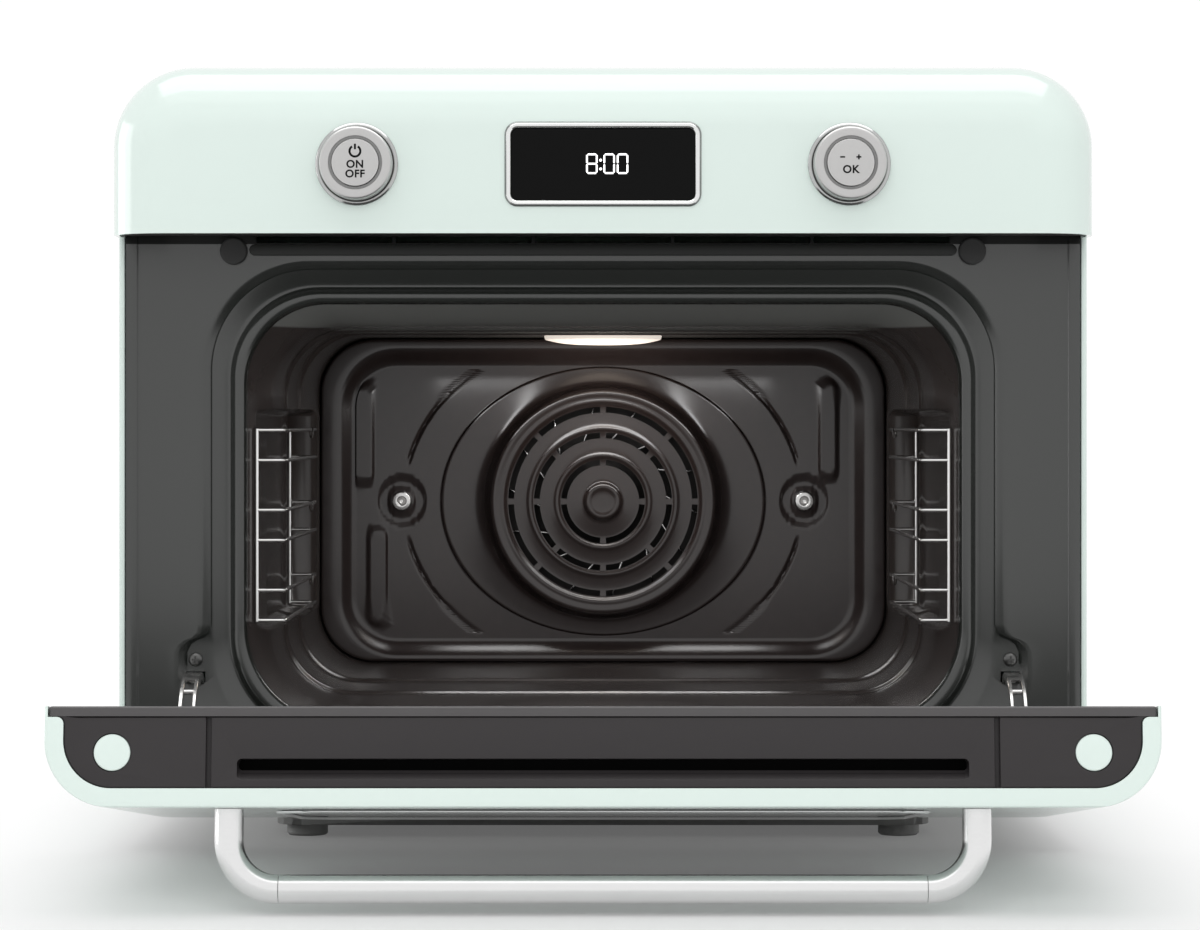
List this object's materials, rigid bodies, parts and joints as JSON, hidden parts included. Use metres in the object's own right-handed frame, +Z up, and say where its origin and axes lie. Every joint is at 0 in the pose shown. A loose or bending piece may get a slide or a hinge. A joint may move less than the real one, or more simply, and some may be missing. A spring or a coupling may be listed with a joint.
{
  "type": "toaster oven",
  "caption": "Countertop convection oven with a drop-down door, side racks, rear fan, two push-turn knobs and a clock display.",
  "frame": {"origin": "on the ground, under the middle of the bounding box with the door open", "axes": "+X to the right as seen from the front, -Y out of the front, +Z up"},
  "size_m": [0.498, 0.6166, 0.402],
  "materials": {
    "mint_enamel": "gloss enamel",
    "dark_enamel": "satin enamel",
    "cavity_enamel": "gloss easy-clean enamel",
    "dark_plastic": "fine matte",
    "satin_steel": "satin",
    "chrome": "polished",
    "plated_steel": "plated",
    "black_glass": "gloss",
    "window_glass": "dark tint",
    "lamp_glass": "frosted",
    "rubber": "matte",
    "circuit_board": "coated",
    "ceramic": "milky"
  },
  "bodies": {
    "oven": {"air_deflector": "dark_enamel", "base_pan": "dark_enamel", "bezel_left": "chrome", "bezel_right": "chrome", "board_carrier": "dark_plastic", "bottom_heater": "plated_steel", "casing_wrap": "mint_enamel", "cavity": "cavity_enamel", "control_board": "circuit_board", "control_panel": "mint_enamel", "cord_gland": "rubber", "cover_screw_left": "satin_steel", "cover_screw_right": "satin_steel", "display_glass": "black_glass", "display_module": "dark_plastic", "display_trim": "chrome", "door_bumper_left": "rubber", "door_bumper_right": "rubber", "encoder_left": "plated_steel", "encoder_right": "plated_steel", "facade": "dark_enamel", "fan_cover": "cavity_enamel", "fan_motor": "plated_steel", "foot_front_left": "rubber", "foot_front_right": "rubber", "foot_rear_left": "rubber", "foot_rear_right": "rubber", "hinge_bracket_left": "plated_steel", "hinge_bracket_right": "plated_steel", "hinge_screw_left": "satin_steel", "hinge_screw_right": "satin_steel", "lamp_bulb": "ceramic", "lamp_housing": "plated_steel", "lamp_lens": "lamp_glass", "panel_base": "dark_plastic", "plinth": "dark_plastic", "rear_cover": "mint_enamel", "ring_heater": "plated_steel", "side_rack_left": "satin_steel", "side_rack_right": "satin_steel", "top_heater": "plated_steel"},
    "door": {"door_cap": "dark_plastic", "door_inner_frame": "dark_enamel", "door_plug_left": "mint_enamel", "door_plug_right": "mint_enamel", "door_shell": "mint_enamel", "handle_bar": "satin_steel", "handle_elbow_left": "satin_steel", "handle_elbow_right": "satin_steel", "hinge_arm_left": "satin_steel", "hinge_arm_right": "satin_steel", "inner_glass": "window_glass", "outer_glass": "window_glass", "window_trim": "chrome"},
    "knob_left": {"knob_left": "satin_steel"},
    "knob_right": {"knob_right": "satin_steel"},
    "button_left": {"button_left": "satin_steel"},
    "button_right": {"button_right": "satin_steel"},
    "fan": {"fan_impeller": "satin_steel", "fan_shaft": "plated_steel"}
  },
  "joints": [
    {"name": "door_hinge", "type": "hinge", "parent": "oven", "child": "door", "pos_m": [0, -0.05071, 0.0588], "axis": [-1, 0, 0], "range_deg": [0, 83]},
    {"name": "knob_left_turn", "type": "hinge", "parent": "oven", "child": "knob_left", "pos_m": [-0.1236, -0.09071, 0.351], "axis": [0, 1, 0], "continuous": true},
    {"name": "knob_right_turn", "type": "hinge", "parent": "oven", "child": "knob_right", "pos_m": [0.1236, -0.09071, 0.351], "axis": [0, 1, 0], "continuous": true},
    {"name": "button_left_push", "type": "slide", "parent": "oven", "child": "button_left", "axis": [0, 1, 0], "range_m": [0, 0.002], "stiffness_N_per_m": 300},
    {"name": "button_right_push", "type": "slide", "parent": "oven", "child": "button_right", "axis": [0, 1, 0], "range_m": [0, 0.002], "stiffness_N_per_m": 300},
    {"name": "fan_spin", "type": "hinge", "parent": "oven", "child": "fan", "pos_m": [0, 0.24329, 0.1755], "axis": [0, 1, 0], "continuous": true}
  ]
}
